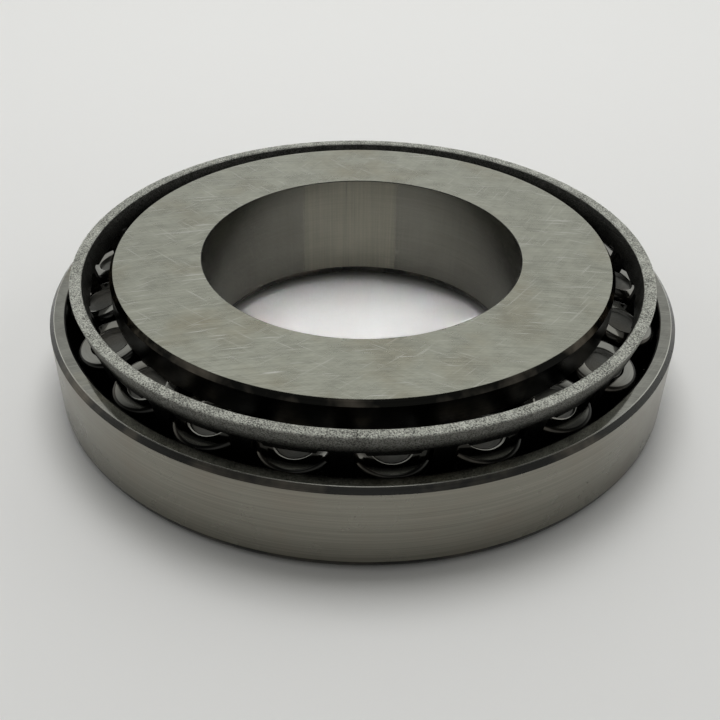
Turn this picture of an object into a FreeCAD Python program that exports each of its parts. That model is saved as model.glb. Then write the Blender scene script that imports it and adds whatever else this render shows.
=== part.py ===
# Single-row tapered roller bearing: a cup (outer ring), a cone (inner ring), a pressed
# steel cage and a full set of tapered rollers, each piece a body of its own.
#
# Millimetres and degrees.  The origin is the centre of the cup's back face, the face that
# the bearing stands on, and +Z runs up the bearing's axis to the cone's back face.
#
# All the tapers share one apex on the bearing's axis, so that the rollers roll without
# sliding.  Points near the rollers are therefore given in the roller's own section: a
# distance along the roller's axis from that apex, and an offset outwards from the axis.
import FreeCAD
import Part
import Sketcher
import os

SIZES = {
    # the whole bearing
    "bearing_width": 18.0,
    "roller_count": 21,
    "first_azimuth": -86.0,
    # rollers
    "roller_tilt": 16.0,
    "roller_taper": 2.1,
    "roller_length": 10.9,
    "pitch_radius": 36.8,
    "large_end_height": 13.15,
    "recess_radius": 2.75,
    "recess_depth": 0.7,
    "recess_draft": 0.15,
    "large_corner_radius": 0.5,
    "small_corner_radius": 0.6,
    # cup
    "cup_radius": 44.0,
    "cup_width": 12.6,
    "cup_chamfer_radial": 0.65,
    "cup_chamfer_axial": 0.7,
    "cup_back_corner": 1.4,
    "cup_back_lip": 0.8,
    "cup_front_lip": 0.25,
    # cone
    "bore_radius": 22.5,
    "cone_width": 17.2,
    "rib_radius": 35.25,
    "rib_chamfer_radial": 0.55,
    "rib_chamfer_axial": 0.75,
    "rib_lower_corner": 0.2,
    "small_rib_radius": 30.3,
    "small_rib_corner": 0.5,
    "bore_back_corner": 0.1,
    "bore_front_corner": 1.5,
    "relief_radius": 0.4,
    # cage
    "sheet_thickness": 1.6,
    "sheet_offset": 1.0,
    "rim_height": 17.25,
    "rim_edge_radius": 0.3,
    "window_above_roller": 1.4,
    "window_below_roller": 0.15,
    "relief_hole_radius": 0.7,
    "relief_hole_rise": 0.5,
    "flange_bore_radius": 31.6,
    "inner_bend_radius": 0.4,
    # running clearances
    "race_clearance": 0.05,
    "rib_clearance": 0.12,
    "small_end_clearance": 0.25,
    "window_clearance": 0.2,
}

FULL_TURN = 360
QUARTER_TURN = 90
LEAST_CUT_VOLUME = 0.5
EDGE_TOLERANCE = 0.01
CUTTER_OVERHANG = 1.0

document = FreeCAD.newDocument("TaperedRollerBearing")


# ---------------------------------------------------------------- sheet and expressions

def make_sheet():
    """One row for each driving dimension: its name, and its value under an alias."""
    sheet = document.addObject("Spreadsheet::Sheet", "Sizes")
    for row, (alias, value) in enumerate(SIZES.items(), start=1):
        sheet.set(f"A{row}", alias)
        sheet.set(f"B{row}", str(value))
        sheet.setAlias(f"B{row}", alias)
    document.recompute()
    return sheet


def size(alias):
    """The expression that reads one driving dimension."""
    return f"Sizes.{alias}"


TILT = size("roller_tilt")
TAPER = size("roller_taper")

# distance from the apex to a roller's large end, along the roller's axis
APEX_REACH = f"({size('pitch_radius')} / sin({TILT}))"
APEX_HEIGHT = f"({size('large_end_height')} - {size('pitch_radius')} / tan({TILT}))"
SMALL_END_REACH = f"({APEX_REACH} - {size('roller_length')})"

CUP_RACE_ANGLE = f"({TILT} + {TAPER})"
CONE_FRONT_HEIGHT = f"({size('bearing_width')} - {size('cone_width')})"


def section_point(reach, offset):
    """Radius and height of a point given in the roller's own section."""
    radius = f"({reach}) * sin({TILT}) + ({offset}) * cos({TILT})"
    height = f"{APEX_HEIGHT} + ({reach}) * cos({TILT}) - ({offset}) * sin({TILT})"
    return radius, height


def square_to_roller(reach, radius):
    """The point at a given radius on the plane square to the roller's axis at a reach."""
    offset = f"(({radius}) - ({reach}) * sin({TILT})) / cos({TILT})"
    return radius, section_point(reach, offset)[1]


def cup_race_radius(height):
    """Radius of the cup's raceway, clear of the rollers, at a height."""
    slope = f"(({height}) - {APEX_HEIGHT}) * tan({CUP_RACE_ANGLE})"
    return f"{slope} + {size('race_clearance')} / cos({CUP_RACE_ANGLE})"


def cone_race_offset(reach):
    """Offset of the cone's raceway from the roller's axis: inwards, so negative."""
    return f"-(({reach}) * tan({TAPER}) + {size('race_clearance')} / cos({TAPER}))"


# ---------------------------------------------------------------- sketches and features

def new_body(label):
    """An empty body whose label names the piece's file."""
    body = document.addObject("PartDesign::Body", label)
    body.Label = label
    return body


def origin_feature(body, role):
    """One of the body's own origin planes or axes."""
    return next(item for item in body.Origin.OriginFeatures if item.Role == role)


def new_sketch(body, name, plane_role):
    """A sketch on one of the body's origin planes."""
    sketch = body.newObject("Sketcher::SketchObject", name)
    sketch.AttachmentSupport = (origin_feature(body, plane_role), [""])
    sketch.MapMode = "FlatFace"
    return sketch


def place_vertex(sketch, edge, position, axis_name, expression):
    """Hold one coordinate of a vertex to an expression, or to the axis where it is 0."""
    if expression == "0":
        sketch_axis = {"X": -2, "Y": -1}[axis_name]
        sketch.addConstraint(Sketcher.Constraint("PointOnObject", edge, position, sketch_axis))
        return
    value = float(sheet.evalExpression(expression))
    constraint = Sketcher.Constraint("Distance" + axis_name, -1, 1, edge, position, value)
    index = sketch.addConstraint(constraint)
    name = f"{axis_name.lower()}{edge}"
    sketch.renameConstraint(index, name)
    sketch.setExpression(f"Constraints.{name}", expression)


def draw_outline(sketch, corners):
    """A closed outline of straight lines through corners given as pairs of expressions."""
    values = [[float(sheet.evalExpression(term)) for term in corner] for corner in corners]
    vectors = [FreeCAD.Vector(across, along, 0) for across, along in values]
    count = len(vectors)
    for index in range(count):
        sketch.addGeometry(Part.LineSegment(vectors[index], vectors[(index + 1) % count]), False)
    for index in range(count):
        following = (index + 1) % count
        sketch.addConstraint(Sketcher.Constraint("Coincident", index, 2, following, 1))
    for index, (across, along) in enumerate(corners):
        place_vertex(sketch, index, 1, "X", across)
        place_vertex(sketch, index, 1, "Y", along)


def draw_circle(sketch, across, along, radius):
    """A circle whose centre and radius are given as expressions."""
    values = [float(sheet.evalExpression(term)) for term in (across, along, radius)]
    centre = FreeCAD.Vector(values[0], values[1], 0)
    edge = sketch.addGeometry(Part.Circle(centre, FreeCAD.Vector(0, 0, 1), values[2]), False)
    place_vertex(sketch, edge, 3, "X", across)
    place_vertex(sketch, edge, 3, "Y", along)
    index = sketch.addConstraint(Sketcher.Constraint("Radius", edge, values[2]))
    sketch.renameConstraint(index, f"radius{edge}")
    sketch.setExpression(f"Constraints.radius{edge}", radius)


def revolve_outline(body, name, corners):
    """A solid of revolution about the body's Z axis from an outline in its XZ plane."""
    sketch = new_sketch(body, name + "Outline", "XZ_Plane")
    draw_outline(sketch, corners)
    ring = body.newObject("PartDesign::Revolution", name)
    ring.Profile = sketch
    ring.ReferenceAxis = (sketch, ["V_Axis"])
    ring.Angle = FULL_TURN
    document.recompute()
    return ring


def circular_edges(shape, radius, height):
    """Names of the circular edges of one radius about the Z axis, at one height."""
    wanted_radius = float(sheet.evalExpression(radius))
    wanted_height = float(sheet.evalExpression(height))
    names = []
    for index, edge in enumerate(shape.Edges, start=1):
        if not isinstance(edge.Curve, Part.Circle):
            continue
        near_radius = abs(edge.Curve.Radius - wanted_radius) < EDGE_TOLERANCE
        near_height = abs(edge.Curve.Center.z - wanted_height) < EDGE_TOLERANCE
        if near_radius and near_height:
            names.append(f"Edge{index}")
    return names


def round_edge(body, base, name, corner, alias):
    """Round the circular edge that an outline's corner swept."""
    edges = circular_edges(base.Shape, *corner)
    if not edges:
        raise ValueError(f"{body.Label}: no edge to round for {name}")
    fillet = body.newObject("PartDesign::Fillet", name)
    fillet.Base = (base, edges)
    fillet.setExpression("Radius", size(alias))
    document.recompute()
    return fillet


def check_cut(before, after, name):
    """Stop if a cut took nothing away."""
    if before.Shape.Volume - after.Shape.Volume < LEAST_CUT_VOLUME:
        raise ValueError(f"{name} cut nothing")


# ---------------------------------------------------------------- pieces

def make_cup():
    """Outer ring: a plain outside, and a conical raceway that opens upwards."""
    front = size("cup_width")
    race_front = (cup_race_radius(front), front)
    race_back = (cup_race_radius("0"), "0")
    back_corner = (size("cup_radius"), "0")
    body = new_body("cup")
    ring = revolve_outline(body, "CupRing", [
        race_back,
        back_corner,
        (size("cup_radius"), f"{front} - {size('cup_chamfer_axial')}"),
        (f"{size('cup_radius')} - {size('cup_chamfer_radial')}", front),
        race_front,
    ])
    ring = round_edge(body, ring, "CupBackCorner", back_corner, "cup_back_corner")
    ring = round_edge(body, ring, "CupBackLip", race_back, "cup_back_lip")
    round_edge(body, ring, "CupFrontLip", race_front, "cup_front_lip")
    return body


def make_cone():
    """Inner ring: the raceway lies between a large rib above and a small rib below."""
    back = size("bearing_width")
    rib_reach = f"{APEX_REACH} + {size('rib_clearance')}"
    foot_reach = f"{SMALL_END_REACH} - {size('small_end_clearance')}"
    race_top = section_point(rib_reach, cone_race_offset(rib_reach))
    race_foot = section_point(foot_reach, cone_race_offset(foot_reach))
    rib_lower = square_to_roller(rib_reach, size("rib_radius"))
    small_rib_front = (size("small_rib_radius"), CONE_FRONT_HEIGHT)
    bore_front = (size("bore_radius"), CONE_FRONT_HEIGHT)
    bore_back = (size("bore_radius"), back)
    body = new_body("cone")
    ring = revolve_outline(body, "ConeRing", [
        bore_front,
        small_rib_front,
        square_to_roller(foot_reach, size("small_rib_radius")),
        race_foot,
        race_top,
        rib_lower,
        (size("rib_radius"), f"{back} - {size('rib_chamfer_axial')}"),
        (f"{size('rib_radius')} - {size('rib_chamfer_radial')}", back),
        bore_back,
    ])
    relief = new_sketch(body, "RaceReliefOutline", "XZ_Plane")
    for corner in (race_top, race_foot):
        draw_circle(relief, *corner, size("relief_radius"))
    groove = body.newObject("PartDesign::Groove", "RaceRelief")
    groove.Profile = relief
    groove.ReferenceAxis = (relief, ["V_Axis"])
    groove.Angle = FULL_TURN
    document.recompute()
    check_cut(ring, groove, "RaceRelief")
    ring = round_edge(body, groove, "BoreBackCorner", bore_back, "bore_back_corner")
    ring = round_edge(body, ring, "BoreFrontCorner", bore_front, "bore_front_corner")
    ring = round_edge(body, ring, "SmallRibCorner", small_rib_front, "small_rib_corner")
    round_edge(body, ring, "RibLowerCorner", rib_lower, "rib_lower_corner")
    return body


def tilted_sketch(body, name, reach, offset, turn):
    """A sketch in the first window's section, turned about the tangent by an angle."""
    sketch = new_sketch(body, name, "XY_Plane")
    radius, height = section_point(reach, offset)
    sketch.setExpression("AttachmentOffset",
                         f"placement(vector({radius}; 0; {height}); rotation(0; {turn}; 0))")
    return sketch


def cut_windows(body, cone_wall):
    """Windows that follow the rollers' flanks, with a relief hole at each upper corner."""
    outer_offset = f"({size('sheet_offset')} + {size('sheet_thickness')})"
    top_reach = f"({APEX_REACH} + {size('window_above_roller')})"
    past_roller = f"{size('window_above_roller')} + {size('window_below_roller')}"

    def half_width(offset):
        """Half the window's width at an offset from the roller's axis, at its top."""
        flank = f"({top_reach} * tan({TAPER}))"
        return f"sqrt({flank} ^ 2 - ({offset}) ^ 2) + {size('window_clearance')}"

    # the walls lean in towards the outside, so that the window keeps its roller
    inner = half_width(size("sheet_offset"))
    outer = half_width(outer_offset)
    lean = f"({inner} - ({outer})) / {size('sheet_thickness')}"
    low = f"{size('sheet_offset')} - {CUTTER_OVERHANG}"
    high = f"{outer_offset} + {CUTTER_OVERHANG}"
    low_width = f"({inner} + ({lean}) * {CUTTER_OVERHANG})"
    high_width = f"({outer} - ({lean}) * {CUTTER_OVERHANG})"
    section = tilted_sketch(body, "WindowSection", top_reach, "0", TILT)
    draw_outline(section, [
        (low, f"-{low_width}"),
        (high, f"-{high_width}"),
        (high, high_width),
        (low, low_width),
    ])
    window = body.newObject("PartDesign::Pocket", "Window")
    window.Profile = section
    window.setExpression("Length", f"{size('roller_length')} + {past_roller}")
    window.setExpression("TaperAngle", f"-{TAPER}")
    document.recompute()
    check_cut(cone_wall, window, "Window")

    # the holes are cut square to the sheet, from above its outer face to below its inner one
    holes = tilted_sketch(body, "ReliefHoleCentres", top_reach, high, f"{TILT} + {QUARTER_TURN}")
    hole_radius = size("relief_hole_radius")
    hole_drop = f"{hole_radius} - {size('relief_hole_rise')}"
    for side in ("-", ""):
        draw_circle(holes, hole_drop, f"{side}({outer} - {hole_radius})", hole_radius)
    relief = body.newObject("PartDesign::Pocket", "ReliefHoles")
    relief.Profile = holes
    hole_depth = f"{CUTTER_OVERHANG} + {size('sheet_thickness')} + {CUTTER_OVERHANG}"
    relief.setExpression("Length", hole_depth)
    document.recompute()
    check_cut(window, relief, "ReliefHoles")

    pattern = body.newObject("PartDesign::PolarPattern", "Windows")
    pattern.Originals = [window, relief]
    pattern.Axis = (origin_feature(body, "Z_Axis"), [""])
    pattern.Angle = FULL_TURN
    pattern.setExpression("Occurrences", size("roller_count"))
    body.Tip = pattern
    document.recompute()
    check_cut(relief, pattern, "Windows")


def make_cage():
    """Pressed cage: a conical wall with a window for each roller, and a turned-in foot."""
    inner = size("sheet_offset")
    outer = f"({size('sheet_offset')} + {size('sheet_thickness')})"
    foot_reach = f"({SMALL_END_REACH} - {size('small_end_clearance')})"
    base_reach = f"({foot_reach} - {size('sheet_thickness')})"
    rim_rise = f"({size('rim_height')} - {APEX_HEIGHT})"

    def rim_corner(offset):
        """The wall's face at the flat rim."""
        radius = f"({rim_rise} * sin({TILT}) + {offset}) / cos({TILT})"
        return radius, size("rim_height")

    bend_inside = section_point(foot_reach, inner)
    bend_outside = section_point(base_reach, outer)
    body = new_body("cage")
    wall = revolve_outline(body, "CageWall", [
        square_to_roller(base_reach, size("flange_bore_radius")),
        bend_outside,
        rim_corner(outer),
        rim_corner(inner),
        bend_inside,
        square_to_roller(foot_reach, size("flange_bore_radius")),
    ])
    bend_radius = f"{size('inner_bend_radius')} + {size('sheet_thickness')}"
    wall = round_edge(body, wall, "BendInside", bend_inside, "inner_bend_radius")
    wall = round_edge(body, wall, "BendOutside", bend_outside, "inner_bend_radius")
    wall.setExpression("Radius", bend_radius)
    wall = round_edge(body, wall, "RimOuterEdge", rim_corner(outer), "rim_edge_radius")
    wall = round_edge(body, wall, "RimInnerEdge", rim_corner(inner), "rim_edge_radius")
    cut_windows(body, wall)
    turn = f"rotation({size('first_azimuth')}; 0; 0)"
    body.setExpression("Placement", f"placement(vector(0; 0; 0); {turn})")
    return body


def make_roller(number):
    """One roller, drawn about its own axis with its large end's face at height 0."""
    large_radius = f"{APEX_REACH} * tan({TAPER})"
    small_radius = f"{SMALL_END_REACH} * tan({TAPER})"
    foot = f"-{size('roller_length')}"
    recess_floor = f"-{size('recess_depth')}"
    body = new_body(f"roller_{number:02d}")
    solid = revolve_outline(body, f"Roller{number:02d}", [
        ("0", foot),
        (small_radius, foot),
        (large_radius, "0"),
        (size("recess_radius"), "0"),
        (f"{size('recess_radius')} - {size('recess_draft')}", recess_floor),
        ("0", recess_floor),
    ])
    solid = round_edge(body, solid, f"LargeCorner{number:02d}", (large_radius, "0"),
                       "large_corner_radius")
    round_edge(body, solid, f"SmallCorner{number:02d}", (small_radius, foot),
               "small_corner_radius")
    azimuth = f"({size('first_azimuth')} + {number - 1} * {FULL_TURN} / {size('roller_count')})"
    across = f"{size('pitch_radius')} * cos({azimuth})"
    along = f"{size('pitch_radius')} * sin({azimuth})"
    centre = f"vector({across}; {along}; {size('large_end_height')})"
    body.setExpression("Placement", f"placement({centre}; rotation({azimuth}; {TILT}; 0))")
    return body


# ---------------------------------------------------------------- checks and files

def check_document():
    """Stop if any object of the document failed to build."""
    for item in document.Objects:
        if "Invalid" in item.State or "Error" in item.State:
            raise ValueError(f"{item.Name} failed: {item.State}")


def write_pieces(pieces):
    """Write each piece's solid to its own STEP file."""
    os.makedirs("parts", exist_ok=True)
    for body in pieces:
        shape = body.Shape
        if shape.isNull() or not shape.isValid() or len(shape.Solids) != 1:
            raise ValueError(f"{body.Label} is not one valid solid")
        shape.exportStep(f"parts/{body.Label}.step")
        box = shape.BoundBox
        reach = f"height {box.ZMin:6.2f} to {box.ZMax:6.2f}"
        print(f"{body.Label:10s} volume {shape.Volume:10.2f}  {reach}")


sheet = make_sheet()
bearing = [make_cup(), make_cone(), make_cage()]
bearing += [make_roller(number) for number in range(1, SIZES["roller_count"] + 1)]
document.recompute()
check_document()
write_pieces(bearing)
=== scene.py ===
"""A single-row tapered roller bearing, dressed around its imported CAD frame.

Each piece is turned, pierced and folded with bmesh operators to the sizes of its CAD node,
stands in for that node and rides on the same body.  Sizes are millimetres and degrees, and
a mesh is brought to metres when it becomes an object.
"""
from __future__ import annotations

import logging
import math
from abc import ABC, abstractmethod
from collections.abc import Callable
from dataclasses import dataclass, field
from enum import Enum

import bmesh
import bpy
from mathutils import Matrix, Vector

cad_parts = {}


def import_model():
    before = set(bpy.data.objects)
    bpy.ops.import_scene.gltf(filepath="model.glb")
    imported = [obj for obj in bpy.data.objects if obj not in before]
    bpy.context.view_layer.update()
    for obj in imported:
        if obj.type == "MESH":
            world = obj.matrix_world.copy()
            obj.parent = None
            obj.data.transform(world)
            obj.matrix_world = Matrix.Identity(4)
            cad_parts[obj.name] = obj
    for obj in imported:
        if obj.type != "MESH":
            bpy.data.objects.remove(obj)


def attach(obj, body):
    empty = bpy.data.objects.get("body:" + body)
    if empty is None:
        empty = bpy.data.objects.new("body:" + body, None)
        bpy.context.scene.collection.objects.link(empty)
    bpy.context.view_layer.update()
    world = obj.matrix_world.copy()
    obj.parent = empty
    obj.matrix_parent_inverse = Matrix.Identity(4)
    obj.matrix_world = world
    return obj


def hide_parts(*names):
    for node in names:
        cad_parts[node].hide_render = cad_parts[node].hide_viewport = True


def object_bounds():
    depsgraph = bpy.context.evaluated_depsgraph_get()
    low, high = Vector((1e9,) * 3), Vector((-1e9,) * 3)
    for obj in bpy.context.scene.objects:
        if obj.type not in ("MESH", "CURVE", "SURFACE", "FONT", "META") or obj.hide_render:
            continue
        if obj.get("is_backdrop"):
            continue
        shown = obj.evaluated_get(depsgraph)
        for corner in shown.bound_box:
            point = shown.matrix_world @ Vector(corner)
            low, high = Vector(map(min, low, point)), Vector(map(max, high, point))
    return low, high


LOG = logging.getLogger("bearing")

METRES = 0.001
MERGE_DISTANCE = 1e-4
TURNED_PLACE = "turned_place"
AXIS = Vector((0.0, 0.0, 1.0))
ORIGIN = (0.0, 0.0, 0.0)

Colour = tuple[float, float, float]
# two values that become 0 and 1
Span = tuple[float, float]
# two values, and what they become
Ramp = tuple[float, float, float, float]
Socket = bpy.types.NodeSocket
Value = Socket | float | tuple

# where nearly all of a noise lies
NOISE_SPAN: Span = (0.3, 0.7)


class Lay(Enum):
    """What changes from line to line where a tool's lines run round the axis."""

    FACE = "radius"
    WALL = "height"


# ---------------------------------------------------------------- node graphs

class NodeGraph:
    """Adds nodes to one material's tree and links them."""

    def __init__(self, tree: bpy.types.NodeTree) -> None:
        """Keep the tree that nodes are added to."""
        self.tree = tree

    def feed(self, socket: Socket, value: Value) -> None:
        """Link a socket to another, or set its value.

        Args:
            socket: the input to feed.
            value: an output socket, a number, or a tuple of numbers.
        """
        if isinstance(value, bpy.types.NodeSocket):
            self.tree.links.new(value, socket)
        else:
            socket.default_value = value

    def add(self, kind: str, inputs: dict[str | int, Value],
            **settings: object) -> bpy.types.Node:
        """Add a node.

        Args:
            kind: the node's Blender type.
            inputs: what to feed, by the input's name or index.
            **settings: the node's own properties.

        Returns:
            The new node.
        """
        node = self.tree.nodes.new(kind)
        for name, value in settings.items():
            setattr(node, name, value)
        for key, value in inputs.items():
            self.feed(node.inputs[key], value)
        return node

    def calc(self, operation: str, first: Value, second: Value = 0.0) -> Socket:
        """One Math node.

        Args:
            operation: the operation's Blender name.
            first: the first operand.
            second: the second operand.

        Returns:
            The result's socket.
        """
        return self.add("ShaderNodeMath", {0: first, 1: second}, operation=operation).outputs[0]

    def vector_calc(self, operation: str, first: Value, second: Value) -> Socket:
        """One Vector Math node of two vectors.

        Args:
            operation: the operation's Blender name.
            first: the first vector.
            second: the second vector.

        Returns:
            The resulting vector's socket.
        """
        node = self.add("ShaderNodeVectorMath", {0: first, 1: second}, operation=operation)
        return node.outputs["Vector"]

    def measure(self, operation: str, first: Value, second: Value = ORIGIN) -> Socket:
        """One Vector Math node whose result is a number.

        Args:
            operation: the operation's Blender name.
            first: the first vector.
            second: the second vector, where the operation takes one.

        Returns:
            The number's socket.
        """
        node = self.add("ShaderNodeVectorMath", {0: first, 1: second}, operation=operation)
        return node.outputs["Value"]

    def scale(self, vector: Value, factor: Value) -> Socket:
        """A vector or a colour times a number."""
        inputs = {"Vector": vector, "Scale": factor}
        return self.add("ShaderNodeVectorMath", inputs, operation="SCALE").outputs["Vector"]

    def noise(self, vector: Value, scale: float = 1.0, detail: float = 2.0,
              harshness: float = 0.5) -> Socket:
        """Fractal noise about 0.5.

        Args:
            vector: where to read it.
            scale: features per unit of the vector.
            detail: how many octaves.
            harshness: how strong each finer octave is.

        Returns:
            The noise's socket.
        """
        inputs = {"Vector": vector, "Scale": scale, "Detail": detail, "Roughness": harshness}
        return self.add("ShaderNodeTexNoise", inputs).outputs["Fac"]

    def spread(self, value: Value, low: float, high: float, to_low: float = 0.0,
               to_high: float = 1.0) -> Socket:
        """Map a range of values onto another, held at its ends.

        Args:
            value: what to map.
            low: the value that becomes to_low.
            high: the value that becomes to_high.
            to_low: the result at low.
            to_high: the result at high.

        Returns:
            The mapped value's socket.
        """
        inputs = {"Value": value, "From Min": low, "From Max": high,
                  "To Min": to_low, "To Max": to_high}
        return self.add("ShaderNodeMapRange", inputs, clamp=True).outputs["Result"]

    def tint(self, factor: Value, first: Value, second: Value) -> Socket:
        """Mix two colours.

        Args:
            factor: 0 for the first colour and 1 for the second.
            first: a colour or a colour socket.
            second: a colour or a colour socket.

        Returns:
            The mixed colour's socket.
        """
        node = self.tree.nodes.new("ShaderNodeMix")
        node.data_type = "RGBA"
        for socket, value in zip((node.inputs[0], node.inputs[6], node.inputs[7]),
                                 (factor, first, second)):
            self.feed(socket, (*value, 1.0) if isinstance(value, tuple) else value)
        return node.outputs[2]

    def dress_metal(self, shader: bpy.types.Node, colour: Socket, roughness: Socket,
                    relief: Socket, depth: float) -> None:
        """Feed a bare metal's shader.

        Args:
            shader: the Principled shader.
            colour: the metal's colour.
            roughness: how rough it is.
            relief: its fine relief, from 0 to 1.
            depth: how deep a relief of 1 is, in millimetres.
        """
        bump = self.add("ShaderNodeBump", {"Height": relief, "Distance": depth * METRES})
        inputs = {"Base Color": colour, "Metallic": 1.0, "Roughness": roughness,
                  "Normal": bump.outputs["Normal"]}
        for name, value in inputs.items():
            self.feed(shader.inputs[name], value)


@dataclass(frozen=True)
class TurnedPlace:
    """Sockets for a place on a turned piece, in millimetres about the piece's own axis."""

    place: Socket
    direction: Socket
    radius: Socket
    height: Socket

    @classmethod
    def read(cls, graph: NodeGraph, centre: tuple[float, float] = (0.0, 0.0)) -> TurnedPlace:
        """Read the place from the mesh's attribute.

        Args:
            graph: the tree to add the nodes to.
            centre: where the turning axis is taken to be.

        Returns:
            The place's sockets.
        """
        attribute = graph.add("ShaderNodeAttribute", {}, attribute_name=TURNED_PLACE)
        place = graph.vector_calc("SUBTRACT", attribute.outputs["Vector"], (*centre, 0.0))
        parts = graph.add("ShaderNodeSeparateXYZ", {0: place})
        level = graph.vector_calc("MULTIPLY", place, (1.0, 1.0, 0.0))
        around = graph.vector_calc("NORMALIZE", level, ORIGIN)
        return cls(place, around, graph.measure("LENGTH", level), parts.outputs["Z"])

    def lay(self, graph: NodeGraph, across: Socket, along: float, pitch: float) -> Socket:
        """Where to read a pattern of lines that run round the axis.

        Args:
            graph: the tree to add the nodes to.
            across: what changes from line to line, the radius or the height.
            along: how many times the pattern changes on the way round a radian.
            pitch: millimetres from line to line.

        Returns:
            The pattern's vector.
        """
        lift = graph.add("ShaderNodeCombineXYZ", {"Z": graph.calc("DIVIDE", across, pitch)})
        return graph.vector_calc("ADD", graph.scale(self.direction, along), lift.outputs[0])


# ---------------------------------------------------------------- finishes

@dataclass(frozen=True)
class Finish(ABC):
    """A surface finish, which makes its material once."""

    name: str

    def material(self) -> bpy.types.Material:
        """The finish's material, made the first time that it is asked for."""
        found = bpy.data.materials.get(self.name)
        if found:
            return found
        made = bpy.data.materials.new(self.name)
        made.use_nodes = True
        graph = NodeGraph(made.node_tree)
        self.lay_out(graph, made.node_tree.nodes["Principled BSDF"])
        return made

    @abstractmethod
    def lay_out(self, graph: NodeGraph, shader: bpy.types.Node) -> None:
        """Add the finish's nodes.

        Args:
            graph: the material's tree.
            shader: its Principled shader.
        """


@dataclass(frozen=True)
class GroundSteel(Finish):
    """Bare steel from a grinder or a lathe, whose gloss is a little uneven."""

    roughness: float = 0.3
    smooth_share: float = 0.85
    rough_share: float = 1.2

    def uneven_gloss(self, graph: NodeGraph, patches: Socket) -> Socket:
        """The roughness, smoother or rougher by patches of noise."""
        return graph.spread(patches, *NOISE_SPAN, self.roughness * self.smooth_share,
                            self.roughness * self.rough_share)


@dataclass(frozen=True)
class GrindingPass:
    """One pass of the grinding wheel: lines in arcs about a centre beside the ring."""

    centre: tuple[float, float]
    line_share: float
    scratch_share: float


@dataclass(frozen=True)
class GroundFace(GroundSteel):
    """A flat face from the surface grinder: crossing arcs of fine lines, cloudy and stained."""

    colour: Colour = (0.375, 0.38, 0.325)
    stain: Colour = (0.30, 0.275, 0.205)
    scratch: Colour = (0.60, 0.60, 0.56)
    passes: tuple[GrindingPass, ...] = (
        GrindingPass((8.0, -160.0), 0.8, 0.9),
        GrindingPass((96.0, 118.0), 0.3, 0.5),
        GrindingPass((-112.0, 92.0), 0.3, 0.4),
    )
    line_pitch: float = 0.22
    lines_per_radian: float = 22.0
    scratch_pitch: float = 0.30
    scratches_per_radian: float = 26.0
    scratch_span: Span = (0.66, 0.76)
    cloud_scale: float = 0.09
    patch_scale: float = 0.30
    stain_ramp: Ramp = (0.50, 0.75, 0.0, 0.8)
    level_ramp: Ramp = (0.90, 1.50, 0.76, 1.24)
    relief: float = 0.006

    def lay_out(self, graph: NodeGraph, shader: bpy.types.Node) -> None:
        """Add the finish's nodes.

        Args:
            graph: the material's tree.
            shader: its Principled shader.
        """
        middle = TurnedPlace.read(graph)
        lines: Value = 0.0
        scratches: Value = 0.0
        for grinding in self.passes:
            arc = TurnedPlace.read(graph, grinding.centre)
            fine = arc.lay(graph, arc.radius, self.lines_per_radian, self.line_pitch)
            share = graph.calc("MULTIPLY", graph.noise(fine, detail=3.0), grinding.line_share)
            lines = graph.calc("ADD", lines, share)
            sparse = arc.lay(graph, arc.radius, self.scratches_per_radian, self.scratch_pitch)
            scratch = graph.spread(graph.noise(sparse, detail=1.0), *self.scratch_span,
                                   0.0, grinding.scratch_share)
            scratches = graph.calc("MAXIMUM", scratches, scratch)
        clouds = graph.noise(middle.place, self.cloud_scale, detail=4.0, harshness=0.55)
        patches = graph.noise(middle.place, self.patch_scale, detail=5.0, harshness=0.6)
        stained = graph.spread(clouds, *self.stain_ramp)
        colour = graph.tint(stained, self.colour, self.stain)
        level = graph.spread(graph.calc("ADD", lines, patches), *self.level_ramp)
        colour = graph.tint(scratches, graph.scale(colour, level), self.scratch)
        relief = graph.calc("SUBTRACT", lines, scratches)
        graph.dress_metal(shader, colour, self.uneven_gloss(graph, patches), relief, self.relief)


@dataclass(frozen=True)
class TurnedSteel(GroundSteel):
    """Steel ground or turned about its own axis, with lines round it."""

    colour: Colour = (0.3, 0.3, 0.285)
    stain: Colour = (0.25, 0.22, 0.18)
    line_pitch: float = 0.12
    lines_per_radian: float = 1.6
    line_span: Span = (0.25, 0.75)
    line_depth: float = 0.004
    line_contrast: float = 0.2
    cloud_scale: float = 0.12
    stain_ramp: Ramp = (0.48, 0.72, 0.0, 0.5)
    anisotropy: float = 0.0
    grazing_tint: float = 1.0
    lay: Lay = Lay.WALL

    def lay_out(self, graph: NodeGraph, shader: bpy.types.Node) -> None:
        """Add the finish's nodes.

        Args:
            graph: the material's tree.
            shader: its Principled shader.
        """
        turned = TurnedPlace.read(graph)
        across = getattr(turned, self.lay.value)
        round_axis = turned.lay(graph, across, self.lines_per_radian, self.line_pitch)
        lines = graph.noise(round_axis, detail=3.0, harshness=0.6)
        clouds = graph.noise(turned.place, self.cloud_scale, detail=4.0, harshness=0.6)
        stained = graph.spread(clouds, *self.stain_ramp)
        level = graph.spread(lines, *self.line_span, 1.0 - self.line_contrast,
                             1.0 + self.line_contrast)
        colour = graph.scale(graph.tint(stained, self.colour, self.stain), level)
        graph.dress_metal(shader, colour, self.uneven_gloss(graph, clouds), lines,
                          self.line_depth)
        if self.anisotropy:
            graph.feed(shader.inputs["Anisotropic"], self.anisotropy)
            graph.feed(shader.inputs["Tangent"], tuple(AXIS))
        graph.feed(shader.inputs["Specular Tint"], (*(self.grazing_tint,) * 3, 1.0))


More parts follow.
